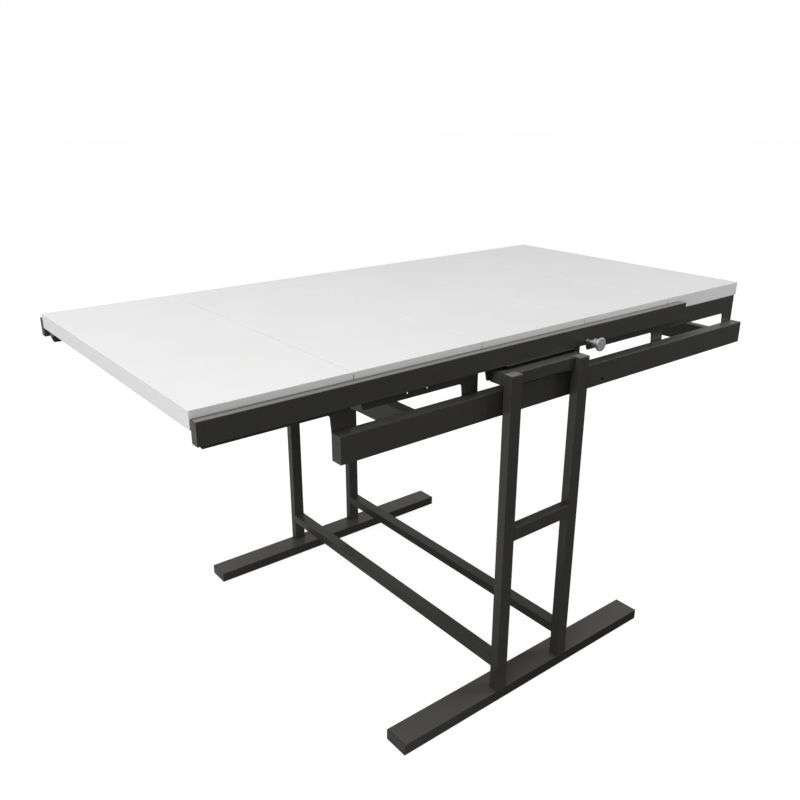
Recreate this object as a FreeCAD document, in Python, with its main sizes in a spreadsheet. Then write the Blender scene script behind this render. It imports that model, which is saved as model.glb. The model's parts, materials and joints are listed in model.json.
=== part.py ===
import FreeCAD, Part
import os
import Sketcher

# Dining table whose top is five boards on a pair of parallel bars along each long side.
# Frame: origin on the floor under the middle of the top, X along the table,
# Y across it (near side negative), Z up. Millimetres.

Vector = FreeCAD.Vector
doc = FreeCAD.newDocument("convertible_table")
sheet = doc.addObject("Spreadsheet::Sheet", "Sizes")
size_names = []


class Size:
    """A length kept as a number together with the sheet formula that it comes from."""

    def __init__(self, value, text):
        self.value = float(value)
        self.text = text

    def __add__(self, other):
        other = as_size(other)
        return Size(self.value + other.value, "(" + self.text + " + " + other.text + ")")

    def __sub__(self, other):
        other = as_size(other)
        return Size(self.value - other.value, "(" + self.text + " - " + other.text + ")")

    def __mul__(self, factor):
        return Size(self.value * factor, "(" + self.text + " * (" + str(factor) + "))")

    def __neg__(self):
        return self * -1


def as_size(value):
    if isinstance(value, Size):
        return value
    return Size(value, "(" + str(value) + ")")


def size(name, value):
    """Write one driving size into the sheet and give it back."""
    size_names.append(name)
    row = str(len(size_names))
    sheet.set("A" + row, name)
    sheet.set("B" + row, str(value))
    sheet.setAlias("B" + row, name)
    return Size(value, "Sizes." + name)


# The five boards of the top.
leaf_pitch = size("leaf_pitch", 280.0)
leaf_gap = size("leaf_gap", 2.0)
leaf_depth = size("leaf_depth", 700.0)
leaf_thick = size("leaf_thick", 30.0)
leaf_edge_round = size("leaf_edge_round", 1.0)
top_height = size("top_height", 769.0)

# Side plates: a strip under each end of a board, with a post down to the lower bar.
plate_thick = size("plate_thick", 3.0)
flange_wide = size("flange_wide", 22.0)
strip_tall = size("strip_tall", 39.5)
end_strip_tall = size("end_strip_tall", 32.5)
bolt_to_strip_edge = size("bolt_to_strip_edge", 9.5)
strip_top_start = size("strip_top_start", 5.0)
strip_foot_start = size("strip_foot_start", 16.0)
strip_corner_round = size("strip_corner_round", 3.0)
post_wide = size("post_wide", 39.0)
post_taper = size("post_taper", 6.0)
post_right_inset = size("post_right_inset", 7.5)
post_tail = size("post_tail", 15.0)
post_round = size("post_round", 9.0)
inner_corner_round = size("inner_corner_round", 7.0)
hook_hole_radius = size("hook_hole_radius", 2.2)
hook_hole_start = size("hook_hole_start", 110.0)
hook_hole_spacing = size("hook_hole_spacing", 44.0)
hook_hole_up = size("hook_hole_up", 9.5)
keeper_ear_inset = size("keeper_ear_inset", 4.0)
keeper_ear_below = size("keeper_ear_below", 12.0)
keeper_clearance = size("keeper_clearance", 0.3)

# Pivots of the parallel linkage: the upper ones near a board's left end, the lower ones near its right end.
upper_pivot_along = size("upper_pivot_along", 16.0)
upper_pivot_drop = size("upper_pivot_drop", 13.2)
lower_pivot_inset = size("lower_pivot_inset", 20.0)
pivot_radius = size("pivot_radius", 3.5)
pivot_clearance = size("pivot_clearance", 0.05)
pivot_thread_radius = size("pivot_thread_radius", 2.5)
pivot_thread_long = size("pivot_thread_long", 9.0)
pivot_head_radius = size("pivot_head_radius", 6.0)
pivot_head_thick = size("pivot_head_thick", 3.6)
pivot_face_gap = size("pivot_face_gap", 0.2)
spacer_radius = size("spacer_radius", 7.0)
nut_radius = size("nut_radius", 3.9)
nut_long = size("nut_long", 10.0)
nut_floor_gap = size("nut_floor_gap", 0.1)

# Bars along the two long sides.
bar_gap = size("bar_gap", 2.5)
bar_wall = size("bar_wall", 2.0)
bar_cap_thick = size("bar_cap_thick", 3.0)
upper_bar_thick = size("upper_bar_thick", 17.5)
upper_bar_tall = size("upper_bar_tall", 37.6)
upper_bar_left = size("upper_bar_left", 14.5)
upper_bar_right = size("upper_bar_right", 24.5)
lower_bar_thick = size("lower_bar_thick", 25.5)
lower_bar_tall = size("lower_bar_tall", 49.0)
lower_bar_left = size("lower_bar_left", 27.0)
lower_bar_right = size("lower_bar_right", 10.5)
cross_tube_wide = size("cross_tube_wide", 22.0)
cross_tube_tall = size("cross_tube_tall", 42.0)
cross_tube_from_left = size("cross_tube_from_left", 148.5)
cross_tube_from_right = size("cross_tube_from_right", 95.5)
peg_hole_radius = size("peg_hole_radius", 3.0)
peg_hole_along = size("peg_hole_along", 56.0)
peg_hole_up = size("peg_hole_up", 11.5)

# Leg frames.
frame_side_gap = size("frame_side_gap", 7.0)
tube_wall = size("tube_wall", 2.0)
tube_round = size("tube_round", 0.8)
upright_wide = size("upright_wide", 28.0)
upright_deep = size("upright_deep", 20.5)
upright_left_inset = size("upright_left_inset", 23.0)
upright_right_inset = size("upright_right_inset", 44.5)
upright_cap_thick = size("upright_cap_thick", 2.0)
foot_wide = size("foot_wide", 56.0)
foot_top = size("foot_top", 25.8)
foot_left = size("foot_left", 358.5)
foot_right = size("foot_right", 350.0)
foot_cap_thick = size("foot_cap_thick", 3.0)
glide_radius = size("glide_radius", 14.0)
glide_thick = size("glide_thick", 2.0)
glide_inset = size("glide_inset", 24.0)
mid_bar_low = size("mid_bar_low", 370.5)
mid_bar_tall = size("mid_bar_tall", 28.0)
bearer_tall = size("bearer_tall", 23.0)
bearer_set_back = size("bearer_set_back", 11.0)
bearer_bar_gap = size("bearer_bar_gap", 11.0)
bearer_bolt_radius = size("bearer_bolt_radius", 3.0)
bearer_bolt_long = size("bearer_bolt_long", 22.0)
bearer_bolt_inset = size("bearer_bolt_inset", 28.0)
bolt_head_radius = size("bolt_head_radius", 5.0)
bolt_head_thick = size("bolt_head_thick", 3.5)
pad_wide = size("pad_wide", 17.5)
pad_tall = size("pad_tall", 7.2)
pad_side_gap = size("pad_side_gap", 1.0)
pad_left_inset = size("pad_left_inset", 21.0)
pad_right_inset = size("pad_right_inset", 5.0)
pad_top_gap = size("pad_top_gap", 0.3)
stretcher_low = size("stretcher_low", 79.4)
stretcher_tall = size("stretcher_tall", 20.6)

# Wood screws that hold the side plates to the boards.
screw_radius = size("screw_radius", 2.0)
screw_head_radius = size("screw_head_radius", 4.0)
screw_head_thick = size("screw_head_thick", 2.5)
screw_bite = size("screw_bite", 12.0)
screw_hole_clearance = size("screw_hole_clearance", 0.2)
screw_inset = size("screw_inset", 12.0)
screw_left_inset = size("screw_left_inset", 40.0)
screw_right_inset = size("screw_right_inset", 60.0)

# Spring plunger that locks the upper bar to the middle board.
lock_inset = size("lock_inset", 10.0)
lock_up = size("lock_up", 7.5)
lock_pin_radius = size("lock_pin_radius", 2.8)
lock_pin_clearance = size("lock_pin_clearance", 0.08)
lock_tip_gap = size("lock_tip_gap", 0.3)
barrel_radius = size("barrel_radius", 4.2)
barrel_proud = size("barrel_proud", 0.4)
stem_long = size("stem_long", 7.6)
sleeve_radius = size("sleeve_radius", 4.5)
sleeve_long = size("sleeve_long", 9.6)
collar_radius = size("collar_radius", 9.3)
collar_long = size("collar_long", 11.9)
knob_radius = size("knob_radius", 13.5)
knob_long = size("knob_long", 4.8)
knob_round = size("knob_round", 1.0)

doc.recompute()

SIDES = ("near", "far")
LEAVES = {1: "end", 2: "hooked", 3: "middle", 4: "plain", 5: "plain"}
nodes = []

# Heights from the top down: board, upper bar, rest pad, bearer, lower bar.
leaf_bottom = top_height - leaf_thick
upper_pivot_height = leaf_bottom - upper_pivot_drop
upper_bar_low = upper_pivot_height - nut_radius - nut_floor_gap - bar_wall
lock_height = upper_bar_low + lock_up
frame_top = upper_bar_low - pad_top_gap - pad_tall
bearer_low = frame_top - bearer_tall
bearer_bolt_height = frame_top - bearer_tall * 0.5
lower_bar_top = bearer_low - bearer_bar_gap
lower_bar_low = lower_bar_top - lower_bar_tall
lower_pivot_height = lower_bar_top - lower_bar_tall * 0.5

# Distances from the middle plane outwards.
half_depth = leaf_depth * 0.5
bar_inner = half_depth + bar_gap
upper_bar_outer = bar_inner + upper_bar_thick
lower_bar_outer = bar_inner + lower_bar_thick
upright_inner = lower_bar_outer + frame_side_gap
frame_outer = upright_inner + upright_deep

# Places along X, from the left end of a board's place in the row.
post_end = leaf_pitch - post_right_inset
post_start = post_end - post_wide
post_foot_start = post_start + post_taper
lower_pivot_along = leaf_pitch - lower_pivot_inset
lock_along = leaf_pitch - lock_inset
keeper_ear_end = leaf_pitch - keeper_ear_inset
middle_left = leaf_pitch * -0.5
screw_spacing = (leaf_pitch - screw_left_inset - screw_right_inset) * 0.5
upright_starts = {"left": upright_left_inset - leaf_pitch * 0.5,
                  "right": leaf_pitch * 0.5 - upright_right_inset - upright_wide}


def cell_left(leaf):
    """X of the left end of a board's place in the row."""
    return leaf_pitch * (leaf - 1 - len(LEAVES) * 0.5)


def band(side, inner, outer):
    """Y limits of a band given by its distances from the middle plane."""
    if side == "near":
        return (-as_size(outer), -as_size(inner))
    return (as_size(inner), as_size(outer))


def bind(piece, name, value):
    piece.setExpression(name, as_size(value).text)


def place(piece, x, y, z):
    bind(piece, "Placement.Base.x", x)
    bind(piece, "Placement.Base.y", y)
    bind(piece, "Placement.Base.z", z)


def keep(piece, label):
    piece.Label = label
    nodes.append(piece)
    return piece


def box(name, x, y, z):
    piece = doc.addObject("Part::Box", name)
    bind(piece, "Length", as_size(x[1]) - x[0])
    bind(piece, "Width", as_size(y[1]) - y[0])
    bind(piece, "Height", as_size(z[1]) - z[0])
    place(piece, x[0], y[0], z[0])
    return piece


def rod_y(name, x, y, z, radius):
    """Round bar along Y between the two Y limits."""
    piece = doc.addObject("Part::Cylinder", name)
    piece.Placement = FreeCAD.Placement(Vector(0, 0, 0), FreeCAD.Rotation(Vector(1, 0, 0), -90))
    bind(piece, "Radius", radius)
    bind(piece, "Height", as_size(y[1]) - y[0])
    place(piece, x, y[0], z)
    return piece


def rod_z(name, x, y, z, radius):
    """Round bar along Z between the two Z limits."""
    piece = doc.addObject("Part::Cylinder", name)
    bind(piece, "Radius", radius)
    bind(piece, "Height", as_size(z[1]) - z[0])
    place(piece, x, y, z[0])
    return piece


def cut(name, base, tool):
    piece = doc.addObject("Part::Cut", name)
    piece.Base = base
    piece.Tool = tool
    return piece


def fuse(name, pieces):
    piece = doc.addObject("Part::MultiFuse", name)
    piece.Shapes = pieces
    piece.Refine = True
    return piece


def group(name, pieces):
    piece = doc.addObject("Part::Compound", name)
    piece.Links = pieces
    return piece


def bar(name, x, y, z, along):
    """Solid bar whose four edges along the named axis are rounded."""
    body = doc.addObject("PartDesign::Body", name)
    block = body.newObject("PartDesign::AdditiveBox", name + "_block")
    bind(block, "Length", as_size(x[1]) - x[0])
    bind(block, "Width", as_size(y[1]) - y[0])
    bind(block, "Height", as_size(z[1]) - z[0])
    place(body, x[0], y[0], z[0])

    def runs_along(edge):
        run = edge.Vertexes[-1].Point - edge.Vertexes[0].Point
        return abs(getattr(run, along)) > 0.99 * edge.Length

    round_edges(body, name + "_edges", block, tube_round, runs_along)
    return body


def tube(name, x, y, z, along, wall):
    """Rectangular tube, open at the two ends of the axis named by along."""
    spans = {"x": x, "y": y, "z": z}
    inside = {}
    for axis, span in spans.items():
        if axis == along:
            inside[axis] = span
        else:
            inside[axis] = (as_size(span[0]) + wall, as_size(span[1]) - wall)
    outer = bar(name + "_outer", x, y, z, along)
    cavity = box(name + "_cavity", inside["x"], inside["y"], inside["z"])
    return cut(name, outer, cavity)


def fix_point(sketch, index, point, x, y, name):
    for kind, axis, value, tail in (("DistanceX", -2, x, "_x"), ("DistanceY", -1, y, "_y")):
        value = as_size(value)
        if value.value == 0:
            sketch.addConstraint(Sketcher.Constraint("PointOnObject", index, point, axis))
            continue
        number = sketch.addConstraint(Sketcher.Constraint(kind, -1, 1, index, point, value.value))
        sketch.renameConstraint(number, name + tail)
        sketch.setExpression("Constraints." + name + tail, value.text)


def new_sketch(body, name, role):
    sketch = body.newObject("Sketcher::SketchObject", name)
    for plane in body.Origin.OriginFeatures:
        if plane.Role == role:
            sketch.AttachmentSupport = [(plane, "")]
    sketch.MapMode = "FlatFace"
    return sketch


def draw_outline(sketch, points):
    """Closed outline through the given corner points."""
    count = len(points)
    corners = [Vector(as_size(x).value, as_size(y).value, 0) for x, y in points]
    for index in range(count):
        sketch.addGeometry(Part.LineSegment(corners[index], corners[(index + 1) % count]), False)
    for index in range(count):
        sketch.addConstraint(Sketcher.Constraint("Coincident", index, 2, (index + 1) % count, 1))
    for index, (x, y) in enumerate(points):
        fix_point(sketch, index, 1, x, y, "corner_" + str(index))


def draw_circle(sketch, x, y, radius, name):
    centre = Vector(as_size(x).value, as_size(y).value, 0)
    index = sketch.addGeometry(Part.Circle(centre, Vector(0, 0, 1), radius.value), False)
    fix_point(sketch, index, 3, x, y, name)
    number = sketch.addConstraint(Sketcher.Constraint("Radius", index, radius.value))
    sketch.renameConstraint(number, name + "_r")
    sketch.setExpression("Constraints." + name + "_r", radius.text)


def pad(body, name, sketch, length, reversed_way):
    piece = body.newObject("PartDesign::Pad", name)
    piece.Profile = sketch
    bind(piece, "Length", length)
    piece.Reversed = reversed_way
    return piece


def round_edges(body, name, base, radius, wanted):
    """Round those edges of the base feature that the wanted function picks."""
    doc.recompute()
    picked = []
    for index, edge in enumerate(base.Shape.Edges):
        if wanted(edge):
            picked.append("Edge" + str(index + 1))
    piece = body.newObject("PartDesign::Fillet", name)
    piece.Base = (base, picked)
    bind(piece, "Radius", radius)
    return piece


def along_y_at(points):
    """Test for an edge along Y that passes through one of the given X and Z points."""

    def wanted(edge):
        first = edge.Vertexes[0].Point
        last = edge.Vertexes[-1].Point
        if abs(first.x - last.x) > 0.01 or abs(first.z - last.z) > 0.01:
            return False
        for x, z in points:
            if abs(first.x - x.value) < 0.01 and abs(first.z - z.value) < 0.01:
                return True
        return False

    return wanted


def screw_places():
    return [screw_left_inset + screw_spacing * step for step in range(3)]


def make_leaf(leaf):
    name = "leaf_" + str(leaf)
    body = doc.addObject("PartDesign::Body", name)
    place(body, cell_left(leaf), -half_depth, leaf_bottom)
    start = leaf_gap * 0.5
    end = leaf_pitch - leaf_gap * 0.5
    sketch = new_sketch(body, name + "_plan", "XY_Plane")
    draw_outline(sketch, ((start, 0), (end, 0), (end, leaf_depth), (start, leaf_depth)))
    slab = pad(body, name + "_slab", sketch, leaf_thick, False)

    def on_top(edge):
        return all(abs(vertex.Point.z - leaf_thick.value) < 0.01 for vertex in edge.Vertexes)

    round_edges(body, name + "_edge", slab, leaf_edge_round, on_top)
    holes = new_sketch(body, name + "_pilots", "XY_Plane")
    for number, x in enumerate(screw_places()):
        draw_circle(holes, x, screw_inset, screw_radius, "pilot_near_" + str(number))
        draw_circle(holes, x, leaf_depth - screw_inset, screw_radius, "pilot_far_" + str(number))
    pocket = body.newObject("PartDesign::Pocket", name + "_pilot_holes")
    pocket.Profile = holes
    bind(pocket, "Length", screw_bite)
    pocket.Reversed = True
    keep(body, name)


def make_side_plate(leaf, side):
    name = "side_plate_" + str(leaf) + "_" + side
    body = doc.addObject("PartDesign::Body", name)
    outer = {"near": -half_depth, "far": half_depth}[side]
    place(body, cell_left(leaf), outer, 0)
    inward = side == "near"
    role = LEAVES[leaf]
    post_low = lower_pivot_height - post_tail
    if role == "middle":
        strip_low = bearer_bolt_height - bolt_to_strip_edge
        ear_low = lock_height - keeper_ear_below
        right_side = [(keeper_ear_end, leaf_bottom), (keeper_ear_end, ear_low), (post_end, ear_low)]
    else:
        strip_low = leaf_bottom - {"end": end_strip_tall}.get(role, strip_tall)
        right_side = [(post_end, leaf_bottom)]
    points = [(strip_top_start, leaf_bottom)]
    points += right_side
    points += [(post_end, post_low), (post_foot_start, post_low), (post_start, strip_low)]
    points += [(strip_foot_start, strip_low)]
    profile = new_sketch(body, name + "_profile", "XZ_Plane")
    draw_outline(profile, points)
    running_radius = pivot_radius + pivot_clearance
    draw_circle(profile, upper_pivot_along, upper_pivot_height, running_radius, "upper_pivot")
    draw_circle(profile, lower_pivot_along, lower_pivot_height, running_radius, "lower_pivot")
    if role == "middle":
        keeper_radius = lock_pin_radius + keeper_clearance
        draw_circle(profile, lock_along, lock_height, keeper_radius, "keeper")
        for number, x in enumerate(bearer_bolt_places()):
            along = x - cell_left(leaf)
            draw_circle(profile, along, bearer_bolt_height, bearer_bolt_radius, "bolt_" + str(number))
    if role == "hooked":
        for number in range(2):
            x = hook_hole_start + hook_hole_spacing * number
            draw_circle(profile, x, strip_low + hook_hole_up, hook_hole_radius, "hook_" + str(number))
    plate = pad(body, name + "_plate", profile, plate_thick, inward)
    tail = round_edges(body, name + "_tail", plate, post_round,
                       along_y_at(((post_end, post_low), (post_foot_start, post_low))))
    corner = round_edges(body, name + "_inner_corner", tail, inner_corner_round,
                         along_y_at(((post_start, strip_low),)))
    round_edges(body, name + "_toe", corner, strip_corner_round,
                along_y_at(((strip_foot_start, strip_low),)))
    flange_low = leaf_bottom - plate_thick
    strip = new_sketch(body, name + "_flange_profile", "XZ_Plane")
    draw_outline(strip, ((strip_foot_start, flange_low), (post_end, flange_low),
                         (post_end, leaf_bottom), (strip_foot_start, leaf_bottom)))
    pad(body, name + "_flange", strip, flange_wide, inward)
    holes = new_sketch(body, name + "_holes", "XY_Plane")
    way = {"near": 1, "far": -1}[side]
    for number, x in enumerate(screw_places()):
        hole_radius = screw_radius + screw_hole_clearance
        draw_circle(holes, x, screw_inset * way, hole_radius, "hole_" + str(number))
    pocket = body.newObject("PartDesign::Pocket", name + "_screw_holes")
    pocket.Profile = holes
    pocket.Type = "ThroughAll"
    pocket.Reversed = True
    keep(body, name)


def make_leaf_screws(leaf):
    name = "leaf_screws_" + str(leaf)
    screws = []
    under = leaf_bottom - plate_thick
    for side in SIDES:
        y = {"near": -(half_depth - screw_inset), "far": half_depth - screw_inset}[side]
        for number, along in enumerate(screw_places()):
            label = name + "_" + side + "_" + str(number)
            x = cell_left(leaf) + along
            head = rod_z(label + "_head", x, y, (under - screw_head_thick, under), screw_head_radius)
            shank = rod_z(label + "_shank", x, y, (under - screw_head_thick, leaf_bottom + screw_bite),
                          screw_radius)
            screws.append(fuse(label, [head, shank]))
    keep(group(name, screws), name)


def bearer_span():
    return (upright_starts["left"], upright_starts["right"] + upright_wide)


def bearer_bolt_places():
    start, end = bearer_span()
    return (start + bearer_bolt_inset, end - bearer_bolt_inset)


def pivot_places(along):
    return [cell_left(leaf) + along for leaf in LEAVES]


def make_bar(kind, side, along, ends, height_span, outer):
    """Hollow bar with a row of nut seats in its inner wall, and its two end caps."""
    first = pivot_places(along)[0]
    last = pivot_places(along)[-1]
    start = first - ends[0]
    end = last + ends[1]
    y = band(side, bar_inner, outer)
    name = kind + "_bar_" + side
    hollow = tube(name + "_tube", (start + bar_cap_thick, end - bar_cap_thick), y, height_span, "x", bar_wall)
    seats = []
    pivot_height = {"upper": upper_pivot_height, "lower": lower_pivot_height}[kind]
    for number, x in enumerate(pivot_places(along)):
        seat_band = band(side, bar_inner, bar_inner + bar_wall)
        seats.append(rod_y(name + "_seat_" + str(number), x, seat_band, pivot_height, nut_radius))
    if kind == "upper":
        x = middle_left + lock_along
        seats.append(rod_y(name + "_lock_hole", x, y, lock_height, barrel_radius))
    else:
        x = middle_left + along + peg_hole_along
        peg_band = band(side, outer - bar_wall, outer)
        seats.append(rod_y(name + "_peg_hole", x, peg_band, height_span[0] + peg_hole_up, peg_hole_radius))
    keep(cut(name, hollow, group(name + "_holes", seats)), name)
    left_cap = bar(name + "_cap_left", (start, start + bar_cap_thick), y, height_span, "x")
    right_cap = bar(name + "_cap_right", (end - bar_cap_thick, end), y, height_span, "x")
    return [left_cap, right_cap]


def make_pivots(kind, along, height):
    """Shoulder bolts, spacers and nuts of one row of pivots on both sides."""
    bolts = []
    spacers = []
    nuts = []
    inner_face = half_depth - plate_thick - pivot_face_gap
    for side in SIDES:
        for number, x in enumerate(pivot_places(along)):
            label = kind + "_pivot_" + side + "_" + str(number)
            head = rod_y(label + "_head", x, band(side, inner_face - pivot_head_thick, inner_face),
                         height, pivot_head_radius)
            shoulder = rod_y(label + "_shoulder", x, band(side, inner_face - pivot_head_thick, bar_inner),
                             height, pivot_radius)
            thread = rod_y(label + "_thread", x,
                           band(side, inner_face - pivot_head_thick, bar_inner + pivot_thread_long),
                           height, pivot_thread_radius)
            bolts.append(fuse(label + "_bolt", [head, shoulder, thread]))
            ring_band = band(side, half_depth + pivot_face_gap, bar_inner)
            ring = rod_y(label + "_ring", x, ring_band, height, spacer_radius)
            eye = rod_y(label + "_eye", x, ring_band, height, pivot_radius + pivot_clearance)
            spacers.append(cut(label + "_spacer", ring, eye))
            nut_band = band(side, bar_inner, bar_inner + nut_long)
            barrel = rod_y(label + "_barrel", x, nut_band, height, nut_radius)
            core = rod_y(label + "_core", x, nut_band, height, pivot_thread_radius)
            nuts.append(cut(label + "_nut", barrel, core))
    keep(group(kind + "_pivot_bolts", bolts), kind + "_pivot_bolts")
    keep(group(kind + "_pivot_spacers", spacers), kind + "_pivot_spacers")
    keep(group(kind + "_pivot_nuts", nuts), kind + "_pivot_nuts")


def make_bars():
    upper_caps = []
    lower_caps = []
    upper_span = (upper_bar_low, upper_bar_low + upper_bar_tall)
    lower_span = (lower_bar_low, lower_bar_top)
    for side in SIDES:
        upper_caps += make_bar("upper", side, upper_pivot_along, (upper_bar_left, upper_bar_right),
                               upper_span, upper_bar_outer)
        lower_caps += make_bar("lower", side, lower_pivot_along, (lower_bar_left, lower_bar_right),
                               lower_span, lower_bar_outer)
    keep(group("upper_bar_caps", upper_caps), "upper_bar_caps")
    keep(group("lower_bar_caps", lower_caps), "lower_bar_caps")
    make_pivots("upper", upper_pivot_along, upper_pivot_height)
    make_pivots("lower", lower_pivot_along, lower_pivot_height)
    start = pivot_places(lower_pivot_along)[0] - lower_bar_left
    end = pivot_places(lower_pivot_along)[-1] + lower_bar_right
    tube_starts = {"left": start + cross_tube_from_left,
                   "right": end - cross_tube_from_right - cross_tube_wide}
    for way, x in tube_starts.items():
        name = "cross_tube_" + way
        keep(tube(name, (x, x + cross_tube_wide), (-bar_inner, bar_inner),
                  (lower_bar_top - cross_tube_tall, lower_bar_top), "y", bar_wall), name)


def make_leg_frames():
    foot_caps = []
    glides = []
    upright_caps = []
    pads = []
    bolts = []
    bearer_x = bearer_span()
    between = (upright_starts["left"] + upright_wide, upright_starts["right"])
    for side in SIDES:
        name = "foot_" + side
        y = band(side, frame_outer - foot_wide, frame_outer)
        z = (glide_thick, foot_top)
        x = (-foot_left, foot_right)
        keep(tube(name, (x[0] + foot_cap_thick, x[1] - foot_cap_thick), y, z, "x", tube_wall), name)
        foot_caps.append(bar(name + "_cap_left", (x[0], x[0] + foot_cap_thick), y, z, "x"))
        foot_caps.append(bar(name + "_cap_right", (x[1] - foot_cap_thick, x[1]), y, z, "x"))
        glide_y = {"near": foot_wide * 0.5 - frame_outer, "far": frame_outer - foot_wide * 0.5}[side]
        for way, glide_x in {"left": x[0] + glide_inset, "right": x[1] - glide_inset}.items():
            glides.append(rod_z(name + "_glide_" + way, glide_x, glide_y, (0, glide_thick), glide_radius))

        y = band(side, upright_inner, frame_outer)
        for way, start in upright_starts.items():
            name = "upright_" + side + "_" + way
            x = (start, start + upright_wide)
            keep(tube(name, x, y, (foot_top, frame_top - upright_cap_thick), "z", tube_wall), name)
            upright_caps.append(bar(name + "_cap", x, y, (frame_top - upright_cap_thick, frame_top), "z"))

        name = "mid_crossbar_" + side
        keep(tube(name, between, y, (mid_bar_low, mid_bar_low + mid_bar_tall), "x", tube_wall), name)

        name = "bearer_" + side
        z = (bearer_low, frame_top)
        front = box(name + "_front", between, band(side, upright_inner, frame_outer - bearer_set_back), z)
        rear = box(name + "_rear", bearer_x, band(side, half_depth, upright_inner), z)
        holes = []
        head_face = half_depth - plate_thick
        for number, bolt_x in enumerate(bearer_bolt_places()):
            label = "bearer_bolt_" + side + "_" + str(number)
            bolt_end = half_depth + bearer_bolt_long
            holes.append(rod_y(label + "_hole", bolt_x, band(side, half_depth, bolt_end), bearer_bolt_height,
                               bearer_bolt_radius))
            head_start = head_face - bolt_head_thick
            head = rod_y(label + "_head", bolt_x, band(side, head_start, head_face), bearer_bolt_height,
                         bolt_head_radius)
            shank = rod_y(label + "_shank", bolt_x, band(side, head_start, bolt_end), bearer_bolt_height,
                          bearer_bolt_radius)
            bolts.append(fuse(label, [head, shank]))
        keep(cut(name, fuse(name + "_block", [front, rear]), group(name + "_holes", holes)), name)

        pad_y = band(side, bar_inner + pad_side_gap, bar_inner + pad_side_gap + pad_wide)
        pad_x = (bearer_x[0] + pad_left_inset, bearer_x[1] - pad_right_inset)
        pads.append(box("rest_pad_" + side, pad_x, pad_y, (frame_top, frame_top + pad_tall)))
    for way, start in upright_starts.items():
        name = "stretcher_" + way
        keep(tube(name, (start, start + upright_wide), (-upright_inner, upright_inner),
                  (stretcher_low, stretcher_low + stretcher_tall), "y", tube_wall), name)
    keep(group("foot_caps", foot_caps), "foot_caps")
    keep(group("foot_glides", glides), "foot_glides")
    keep(group("upright_caps", upright_caps), "upright_caps")
    keep(group("rest_pads", pads), "rest_pads")
    keep(group("bearer_bolts", bolts), "bearer_bolts")


def make_lock(side):
    """Knob with its pin, turned about its own axis, and the barrel that guides it."""
    x = middle_left + lock_along
    name = "lock_barrel_" + side
    barrel_band = band(side, bar_inner, upper_bar_outer + barrel_proud)
    shell = rod_y(name + "_shell", x, barrel_band, lock_height, barrel_radius)
    eye = rod_y(name + "_eye", x, barrel_band, lock_height, lock_pin_radius + lock_pin_clearance)
    barrel = cut(name, shell, eye)

    name = "lock_knob_" + side
    body = doc.addObject("PartDesign::Body", name)
    turn = {"near": 180, "far": 0}[side]
    body.Placement = FreeCAD.Placement(Vector(0, 0, 0), FreeCAD.Rotation(Vector(0, 0, 1), turn))
    place(body, x, 0, lock_height)
    tip = half_depth + lock_tip_gap
    sleeve = upper_bar_outer + barrel_proud + stem_long
    collar = sleeve + sleeve_long
    head = collar + collar_long
    face = head + knob_long
    profile = new_sketch(body, name + "_profile", "XY_Plane")
    draw_outline(profile, ((0, tip), (lock_pin_radius, tip), (lock_pin_radius, sleeve),
                           (sleeve_radius, sleeve), (sleeve_radius, collar),
                           (collar_radius, collar), (collar_radius, head),
                           (knob_radius, head), (knob_radius, face), (0, face)))
    turned = body.newObject("PartDesign::Revolution", name + "_turned")
    turned.Profile = profile
    turned.ReferenceAxis = (profile, ["V_Axis"])
    turned.Angle = 360

    def on_rim(edge):
        return hasattr(edge.Curve, "Radius") and abs(edge.Curve.Radius - knob_radius.value) < 0.01

    round_edges(body, name + "_rim", turned, knob_round, on_rim)
    keep(body, name)
    return barrel


for leaf in LEAVES:
    make_leaf(leaf)
    make_leaf_screws(leaf)
    for side in SIDES:
        make_side_plate(leaf, side)
make_bars()
make_leg_frames()
keep(group("lock_barrels", [make_lock(side) for side in SIDES]), "lock_barrels")
doc.recompute()

for piece in doc.Objects:
    if "Invalid" in piece.State or "Error" in piece.State:
        raise RuntimeError(piece.Name + " did not build")
for piece in nodes:
    if piece.Shape.isNull() or not piece.Shape.isValid():
        raise RuntimeError(piece.Label + " has no valid shape")

os.makedirs("parts", exist_ok=True)
for piece in nodes:
    piece.Shape.exportStep("parts/" + piece.Label + ".step")
    limits = piece.Shape.BoundBox
    print(piece.Label, len(piece.Shape.Solids), "solids, volume", round(piece.Shape.Volume),
          [round(value, 1) for value in (limits.XMin, limits.XMax, limits.YMin, limits.YMax,
                                         limits.ZMin, limits.ZMax)])
print(len(nodes), "nodes")
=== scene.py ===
import bpy
import json
from mathutils import Matrix, Vector


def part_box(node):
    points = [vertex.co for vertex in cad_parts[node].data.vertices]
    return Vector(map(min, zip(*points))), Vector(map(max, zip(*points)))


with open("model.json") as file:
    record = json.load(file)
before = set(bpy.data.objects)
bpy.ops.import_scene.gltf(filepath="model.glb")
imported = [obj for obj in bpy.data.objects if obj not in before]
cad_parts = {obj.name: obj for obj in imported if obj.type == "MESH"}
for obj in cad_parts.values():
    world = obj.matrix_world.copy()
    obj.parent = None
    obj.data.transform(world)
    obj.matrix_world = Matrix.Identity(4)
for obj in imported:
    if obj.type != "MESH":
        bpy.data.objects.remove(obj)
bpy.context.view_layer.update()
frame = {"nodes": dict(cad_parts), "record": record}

scene = bpy.context.scene
scene.view_settings.view_transform = "Standard"


def rgb(red, green, blue):
    return (red, green, blue, 1.0)


# Lengths are in metres, lamp powers in watts and colours in linear red, green and blue.
WHITE = rgb(1.0, 1.0, 1.0)
BEVEL_SAMPLES = 6
# Width of the edge marks: darker worn edges on the boards, and on the coat lighter rubbed edges widened to
# paint a highlight along them.
EDGE_WEAR_AND_HIGHLIGHT_RADIUS = 0.0012

# Cosines between the rounded and the flat normal: at a sharp edge, and where a face counts as flat.
SHARP_EDGE = 0.80
FLAT_FACE = 0.995
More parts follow.
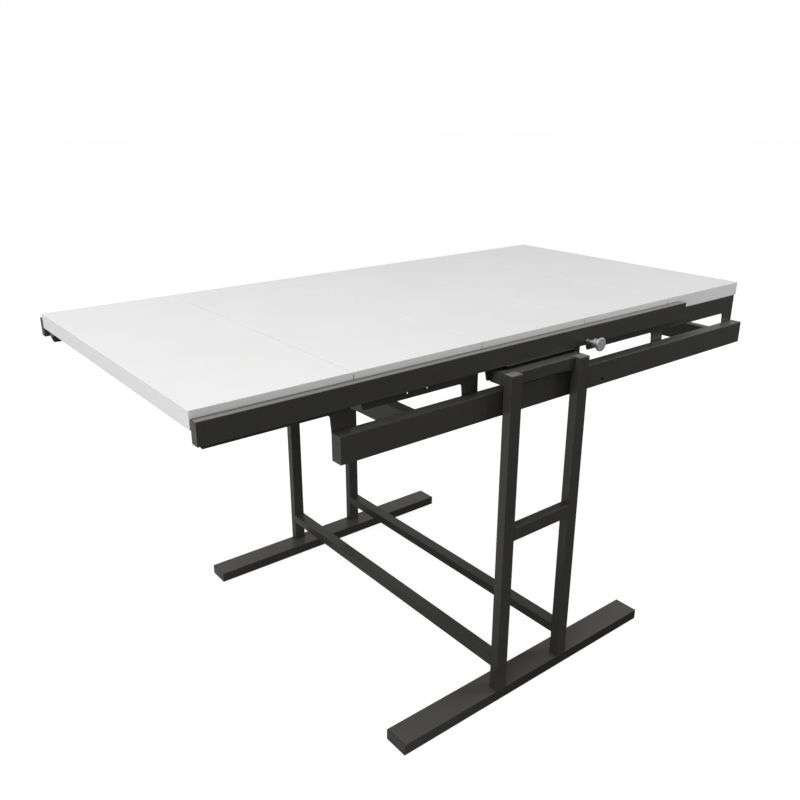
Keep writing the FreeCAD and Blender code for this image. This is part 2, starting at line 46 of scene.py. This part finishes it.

# Painted top light: upward part of the normal where it begins and where it is full, and its fade beside the
# boards.
TOP_LIGHT_BEGINS = 0.85
TOP_LIGHT_FULL = 0.98
TOP_LIGHT_SIDE_FADE = 0.006
# Lighter tones on upward faces as painted top light: high on the frame and caps, and on the feet tops.
TOP_LIGHT_TONE = rgb(0.205, 0.202, 0.196)
FOOT_TOP_LIGHT_TONE = rgb(0.086, 0.082, 0.075)

# Strength of the white studio as light on the object, in reflections and as the background.
STUDIO_LIGHT = 0.38
STUDIO_IN_GLOSS = 0.68
STUDIO_BACKGROUND = 1.0
GLOSSY_RAYS = ("Is Glossy Ray",)
VIEW_RAYS = ("Is Camera Ray", "Is Transmission Ray")

# The floor shows a white glow with soft shadows, and bounces more light towards the far left.
FLOOR_HALF = 30.0
FLOOR_GLOW = 0.86
FLOOR_SHADED = rgb(0.34, 0.34, 0.34)
FLOOR_PALER_WAY = (-0.8, 0.6, 0.0)

# Camera at the photograph's viewing angle. Its lens and sensor are in millimetres.
CAMERA_PLACE = (-1.108260, -1.343890, 1.164500)
CAMERA_RIGHT = (0.786205, -0.617966, 0.000486)
CAMERA_UP = (0.212516, 0.271111, 0.938795)
CAMERA_LENS = 36.1128
CAMERA_SENSOR = 36.0
NEAREST_SEEN = 0.05
FARTHEST_SEEN = 200.0

# Places of the painted top light: the height where it begins, where it is full, and the least distance from
# the middle plane.
bar_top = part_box("upper_bar_near")[1][2]
frame_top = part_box("bearer_near")[1][2]
foot_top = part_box("foot_near")[1][2]
half_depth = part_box("leaf_3")[1][1]
beside_boards = half_depth + 0.005
bar_top_light_places = (frame_top - 0.012, bar_top - 0.007, beside_boards)
cap_top_light_places = (frame_top - 0.022, frame_top - 0.002, beside_boards)
foot_top_light_places = (foot_top - 0.006, foot_top - 0.001, 0.0)


class Shader:
    """A material with a Principled shader, built from named node steps."""

    def __init__(self, name):
        self.material = bpy.data.materials.new(name)
        self.material.use_nodes = True
        self.tree = self.material.node_tree
        self.shader = self.tree.nodes["Principled BSDF"]
        coordinates = self.node("ShaderNodeTexCoord")
        self.place = coordinates.outputs["Object"]

    def node(self, kind, **settings):
        made = self.tree.nodes.new(kind)
        for key, value in settings.items():
            setattr(made, key, value)
        return made

    def link(self, source, target):
        self.tree.links.new(source, target)

    def set(self, socket, value):
        self.shader.inputs[socket].default_value = value

    def stretched(self, scale):
        """Object coordinates scaled along X, Y and Z, for grain that runs one way."""
        mapping = self.node("ShaderNodeMapping")
        mapping.inputs["Scale"].default_value = scale
        self.link(self.place, mapping.inputs["Vector"])
        return mapping.outputs["Vector"]

    def noise(self, scale, detail, vector=None):
        made = self.node("ShaderNodeTexNoise")
        made.inputs["Scale"].default_value = scale
        made.inputs["Detail"].default_value = detail
        self.link(vector or self.place, made.inputs["Vector"])
        return made.outputs["Fac"]

    def remap(self, value, low=0.0, high=1.0, start=0.3, end=0.7):
        """The values from start to end, spread over low to high and held there beyond."""
        made = self.node("ShaderNodeMapRange")
        made.inputs["From Min"].default_value = start
        made.inputs["From Max"].default_value = end
        made.inputs["To Min"].default_value = low
        made.inputs["To Max"].default_value = high
        self.link(value, made.inputs["Value"])
        return made.outputs["Result"]

    def blend(self, factor, first, second):
        """Colour between two colours or sockets, by a factor socket."""
        made = self.node("ShaderNodeMix", data_type="RGBA")
        self.link(factor, made.inputs["Factor"])
        colour_sockets = [socket for socket in made.inputs if socket.type == "RGBA"]
        for socket, value in zip(colour_sockets, (first, second)):
            if isinstance(value, tuple):
                socket.default_value = value
            else:
                self.link(value, socket)
        return [socket for socket in made.outputs if socket.type == "RGBA"][0]

    def multiply(self, first, second):
        made = self.node("ShaderNodeMath", operation="MULTIPLY")
        self.link(first, made.inputs[0])
        self.link(second, made.inputs[1])
        return made.outputs["Value"]

    def rounded_normal(self, radius):
        made = self.node("ShaderNodeBevel", samples=BEVEL_SAMPLES)
        made.inputs["Radius"].default_value = radius
        return made.outputs["Normal"]

    def edge_mask(self):
        """One along sharp edges and zero on flat faces, from the rounded normal."""
        flat = self.node("ShaderNodeNewGeometry")
        product = self.node("ShaderNodeVectorMath", operation="DOT_PRODUCT")
        self.link(self.rounded_normal(EDGE_WEAR_AND_HIGHLIGHT_RADIUS), product.inputs[0])
        self.link(flat.outputs["True Normal"], product.inputs[1])
        return self.remap(product.outputs["Value"], low=1.0, high=0.0, start=SHARP_EDGE, end=FLAT_FACE)

    def bump(self, layers, edge_radius):
        """Bump from (height socket, depth in metres) layers over softly rounded edges."""
        normal = self.rounded_normal(edge_radius)
        for height, depth in layers:
            made = self.node("ShaderNodeBump")
            made.inputs["Strength"].default_value = 1.0
            made.inputs["Distance"].default_value = depth
            self.link(height, made.inputs["Height"])
            self.link(normal, made.inputs["Normal"])
            normal = made.outputs["Normal"]
        self.link(normal, self.shader.inputs["Normal"])

    def painted_top_light(self, low, high, beside):
        """Mask of painted top light: one on upward faces above the high level, zero below the low one and
        nearer than beside.
        """
        where = self.node("ShaderNodeNewGeometry")
        facing = self.node("ShaderNodeSeparateXYZ")
        self.link(where.outputs["True Normal"], facing.inputs["Vector"])
        spot = self.node("ShaderNodeSeparateXYZ")
        self.link(self.place, spot.inputs["Vector"])
        aside = self.node("ShaderNodeMath", operation="ABSOLUTE")
        self.link(spot.outputs["Y"], aside.inputs[0])
        upward = self.remap(facing.outputs["Z"], start=TOP_LIGHT_BEGINS, end=TOP_LIGHT_FULL)
        raised = self.remap(spot.outputs["Z"], start=low, end=high)
        clear = self.remap(aside.outputs["Value"], start=beside, end=beside + TOP_LIGHT_SIDE_FADE)
        return self.multiply(self.multiply(upward, raised), clear)

    def colour(self, socket):
        self.link(socket, self.shader.inputs["Base Color"])

    def rough(self, pattern, low, high):
        self.link(self.remap(pattern, low, high), self.shader.inputs["Roughness"])


def shade(tone, factors):
    """The tone with its red, green and blue times the three factors."""
    return rgb(*[value * factor for value, factor in zip(tone, factors)])


def board_material():
    """Satin white laminate with a faint mottle and slightly worn edges."""
    made = Shader("white_laminate")
    cloud = made.remap(made.noise(scale=7.0, detail=4.0))
    face = made.blend(cloud, rgb(0.815, 0.815, 0.812), rgb(0.845, 0.845, 0.842))
    fine = made.noise(scale=420.0, detail=2.0)
    speck = made.remap(fine, high=0.35, start=0.45, end=0.8)
    face = made.blend(speck, face, rgb(0.79, 0.79, 0.787))
    patches = made.remap(made.noise(scale=60.0, detail=3.0), high=0.55)
    wear = made.multiply(made.edge_mask(), patches)
    made.colour(made.blend(wear, face, rgb(0.67, 0.668, 0.66)))
    made.rough(made.noise(scale=35.0, detail=5.0), low=0.36, high=0.50)
    grit = made.noise(scale=1500.0, detail=1.0)
    made.bump([(fine, 0.00006), (grit, 0.00002)], edge_radius=0.0010)
    made.set("Specular IOR Level", 0.35)
    return made.material


def coat_material(name, tone, edge_wear_and_highlight_tone, top_light_tone, top_light_places):
    """Fine-textured coat on metal: orange peel, faint clouding, light rubbed edges that also paint a
    highlight, and painted top light on upward faces.
    """
    made = Shader(name)
    cloud = made.remap(made.noise(scale=11.0, detail=5.0))
    face = made.blend(cloud, shade(tone, (0.96, 0.96, 0.96)), shade(tone, (1.05, 1.05, 1.04)))
    patches = made.remap(made.noise(scale=90.0, detail=4.0), low=0.3, high=0.9, start=0.35, end=0.75)
    # Lighter rubbed edges, partly wear and partly a painted highlight.
    wear = made.multiply(made.edge_mask(), patches)
    face = made.blend(wear, face, edge_wear_and_highlight_tone)
    # Upward faces take a lighter tone: painted top light.
    made.colour(made.blend(made.painted_top_light(*top_light_places), face, top_light_tone))
    made.rough(made.noise(scale=40.0, detail=5.0), low=0.28, high=0.33)
    peel = made.noise(scale=900.0, detail=2.0)
    waves = made.noise(scale=260.0, detail=2.0)
    made.bump([(peel, 0.00002), (waves, 0.00002)], edge_radius=0.0015)
    made.set("Specular IOR Level", 0.20)
    return made.material


def plastic_material(name, tone, rough_low, rough_high, specular):
    """Moulded plastic with a fine spark-eroded grain and painted top light on upward faces."""
    made = Shader(name)
    cloud = made.remap(made.noise(scale=50.0, detail=4.0))
    face = made.blend(cloud, shade(tone, (0.9, 0.9, 0.9)), shade(tone, (1.06, 1.06, 1.06)))
    # Upward faces high on the frame take a lighter tone: painted top light.
    made.colour(made.blend(made.painted_top_light(*cap_top_light_places), face, TOP_LIGHT_TONE))
    made.rough(made.noise(scale=120.0, detail=3.0), rough_low, rough_high)
    grain = made.noise(scale=1800.0, detail=2.0)
    made.bump([(grain, 0.00008)], edge_radius=0.0008)
    made.set("Specular IOR Level", specular)
    return made.material


def zinc_material():
    """Zinc-plated steel with fine drawn lines and dull patches."""
    made = Shader("zinc_steel")
    tone = (0.50, 0.50, 0.49)
    cloud = made.remap(made.noise(scale=150.0, detail=4.0))
    made.colour(made.blend(cloud, shade(tone, (0.86, 0.86, 0.86)), rgb(*tone)))
    lines = made.noise(scale=260.0, detail=3.0, vector=made.stretched((1.0, 9.0, 1.0)))
    made.rough(lines, low=0.28, high=0.46)
    made.bump([(lines, 0.00005)], edge_radius=0.0006)
    made.set("Metallic", 1.0)
    return made.material


def knob_material():
    """Satin turned aluminium with fine rings round the knob's own axis."""
    made = Shader("turned_aluminium")
    low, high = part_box("lock_knob_near")
    centre = [(low[axis] + high[axis]) / 2 for axis in range(3)]
    shift = made.node("ShaderNodeMapping")
    shift.inputs["Location"].default_value = (-centre[0], 0.0, -centre[2])
    made.link(made.place, shift.inputs["Vector"])
    flatten = made.node("ShaderNodeVectorMath", operation="MULTIPLY")
    flatten.inputs[1].default_value = (1.0, 0.0, 1.0)
    made.link(shift.outputs["Vector"], flatten.inputs[0])
    reach = made.node("ShaderNodeVectorMath", operation="LENGTH")
    made.link(flatten.outputs["Vector"], reach.inputs[0])
    ring_noise = made.node("ShaderNodeTexNoise", noise_dimensions="1D")
    ring_noise.inputs["Scale"].default_value = 2600.0
    made.link(reach.outputs["Value"], ring_noise.inputs["W"])
    rings = ring_noise.outputs["Fac"]
    cloud = made.remap(made.noise(scale=300.0, detail=3.0))
    made.colour(made.blend(cloud, rgb(0.45, 0.45, 0.446), rgb(0.52, 0.52, 0.516)))
    made.rough(rings, low=0.42, high=0.56)
    made.bump([(rings, 0.00004)], edge_radius=0.0006)
    made.set("Metallic", 1.0)
    return made.material


looks = {
    "board": board_material(),
    "frame_metal": coat_material("charcoal_coat", (0.0490, 0.0479, 0.0454), rgb(0.070, 0.068, 0.065),
                                 TOP_LIGHT_TONE, bar_top_light_places),
    # Darker copy of the coat for the feet: painted shade on their low fronts, with painted top light on
    # their tops.
    "foot_metal_painted_shade": coat_material("foot_coat_painted_shade_and_light", (0.0320, 0.0311, 0.0294), rgb(0.050, 0.049, 0.047),
                                FOOT_TOP_LIGHT_TONE, foot_top_light_places),
    "dark_cap": plastic_material("dark_cap_plastic", (0.0480, 0.0472, 0.0450),
                                 rough_low=0.28, rough_high=0.42, specular=0.20),
    # Near-black rubber pads, darkened to paint the deep shade under the upper bars.
    "rest_pad": plastic_material("pad_rubber_painted_shade", (0.004, 0.004, 0.004),
                                 rough_low=0.70, rough_high=0.88, specular=0.08),
    "glide": plastic_material("glide_plastic", (0.014, 0.014, 0.014),
                              rough_low=0.50, rough_high=0.68, specular=0.3),
    "spacer": plastic_material("spacer_plastic", (0.018, 0.018, 0.018),
                               rough_low=0.50, rough_high=0.66, specular=0.3),
    "knob": knob_material(),
    "fastener": zinc_material(),
}
slots = {row["node"]: row["material_slot"] for row in frame["record"]["subparts"]}
# The feet take the darker coat copy, which paints their shade.
slots.update({"foot_near": "foot_metal_painted_shade", "foot_far": "foot_metal_painted_shade"})
for node, piece in frame["nodes"].items():
    piece.data.materials.clear()
    piece.data.materials.append(looks[slots[node]])


def seen_by(tree, rays):
    """One for rays of the named kinds and zero for the others."""
    path = tree.nodes.new("ShaderNodeLightPath")
    either = path.outputs[rays[0]]
    for name in rays[1:]:
        both = tree.nodes.new("ShaderNodeMath")
        both.operation = "MAXIMUM"
        tree.links.new(either, both.inputs[0])
        tree.links.new(path.outputs[name], both.inputs[1])
        either = both.outputs["Value"]
    return either


def by_rays(tree, shader, others):
    """The shader, with another one in its place for each (rays, other shader) pair."""
    for rays, other in others:
        mix = tree.nodes.new("ShaderNodeMixShader")
        tree.links.new(seen_by(tree, rays), mix.inputs["Fac"])
        tree.links.new(shader, mix.inputs[1])
        tree.links.new(other, mix.inputs[2])
        shader = mix.outputs["Shader"]
    return shader


def make_world():
    """White studio all round, softer as light than it looks."""
    world = bpy.data.worlds.new("studio")
    scene.world = world
    world.use_nodes = True
    tree = world.node_tree
    tree.nodes.clear()

    def studio(strength):
        light = tree.nodes.new("ShaderNodeBackground")
        light.inputs["Color"].default_value = WHITE
        light.inputs["Strength"].default_value = strength
        return light.outputs["Background"]

    others = ((GLOSSY_RAYS, studio(STUDIO_IN_GLOSS)), (VIEW_RAYS, studio(STUDIO_BACKGROUND)))
    shader = by_rays(tree, studio(STUDIO_LIGHT), others)
    out = tree.nodes.new("ShaderNodeOutputWorld")
    tree.links.new(shader, out.inputs["Surface"])


def make_floor():
    """Plain pale floor that keeps the object's shadow."""
    mesh = bpy.data.meshes.new("floor")
    corners = [(-FLOOR_HALF, -FLOOR_HALF, 0), (FLOOR_HALF, -FLOOR_HALF, 0),
               (FLOOR_HALF, FLOOR_HALF, 0), (-FLOOR_HALF, FLOOR_HALF, 0)]
    mesh.from_pydata(corners, [], [(0, 1, 2, 3)])
    floor = bpy.data.objects.new("floor", mesh)
    scene.collection.objects.link(floor)
    material = bpy.data.materials.new("studio_floor")
    material.use_nodes = True
    tree = material.node_tree
    tree.nodes.clear()
    where = tree.nodes.new("ShaderNodeNewGeometry")
    across = tree.nodes.new("ShaderNodeVectorMath")
    across.operation = "DOT_PRODUCT"
    across.inputs[1].default_value = FLOOR_PALER_WAY
    tree.links.new(where.outputs["Position"], across.inputs[0])

    def bounce(low, high, start, end):
        """Diffuse floor that grows from the low to the high tone between two distances."""
        paler = tree.nodes.new("ShaderNodeMapRange")
        paler.inputs["From Min"].default_value = start
        paler.inputs["From Max"].default_value = end
        paler.inputs["To Min"].default_value = low
        paler.inputs["To Max"].default_value = high
        tree.links.new(across.outputs["Value"], paler.inputs["Value"])
        diffuse = tree.nodes.new("ShaderNodeBsdfDiffuse")
        tree.links.new(paler.outputs["Result"], diffuse.inputs["Color"])
        return diffuse.outputs["BSDF"]

    glow = tree.nodes.new("ShaderNodeEmission")
    glow.inputs["Strength"].default_value = FLOOR_GLOW
    shaded = tree.nodes.new("ShaderNodeBsdfDiffuse")
    shaded.inputs["Color"].default_value = FLOOR_SHADED
    plain = tree.nodes.new("ShaderNodeAddShader")
    tree.links.new(glow.outputs["Emission"], plain.inputs[0])
    tree.links.new(shaded.outputs["BSDF"], plain.inputs[1])
    others = ((GLOSSY_RAYS, bounce(low=0.10, high=1.0, start=-0.25, end=0.25)),
              (VIEW_RAYS, plain.outputs["Shader"]))
    shader = by_rays(tree, bounce(low=0.06, high=0.75, start=-0.8, end=1.4), others)
    out = tree.nodes.new("ShaderNodeOutputMaterial")
    tree.links.new(shader, out.inputs["Surface"])
    mesh.materials.append(material)


def make_lamp(name, place, aim, width, power):
    """Soft square lamp that shines from its place towards the aim."""
    lamp = bpy.data.lights.new(name, "AREA")
    lamp.shape = "SQUARE"
    lamp.size = width
    lamp.energy = power
    piece = bpy.data.objects.new(name, lamp)
    piece.location = place
    piece.rotation_mode = "QUATERNION"
    piece.rotation_quaternion = (Vector(aim) - Vector(place)).to_track_quat("-Z", "Y")
    scene.collection.objects.link(piece)


def make_camera():
    camera = bpy.data.cameras.new("camera")
    camera.sensor_fit = "HORIZONTAL"
    camera.sensor_width = CAMERA_SENSOR
    camera.lens = CAMERA_LENS
    camera.clip_start = NEAREST_SEEN
    camera.clip_end = FARTHEST_SEEN
    piece = bpy.data.objects.new("camera", camera)
    right = Vector(CAMERA_RIGHT)
    up = Vector(CAMERA_UP)
    back = right.cross(up)
    turn = Matrix((right, up, back)).transposed().to_4x4()
    piece.matrix_world = Matrix.Translation(CAMERA_PLACE) @ turn
    scene.collection.objects.link(piece)
    scene.camera = piece


make_world()
make_floor()
make_lamp("key", place=(-2.3, -0.38, 3.3), aim=(0.0, 0.0, 0.6), width=2.4, power=84.0)
make_lamp("fill", place=(2.8, -1.9, 1.7), aim=(0.7, -0.3, 0.7), width=1.8, power=45.0)
make_camera()
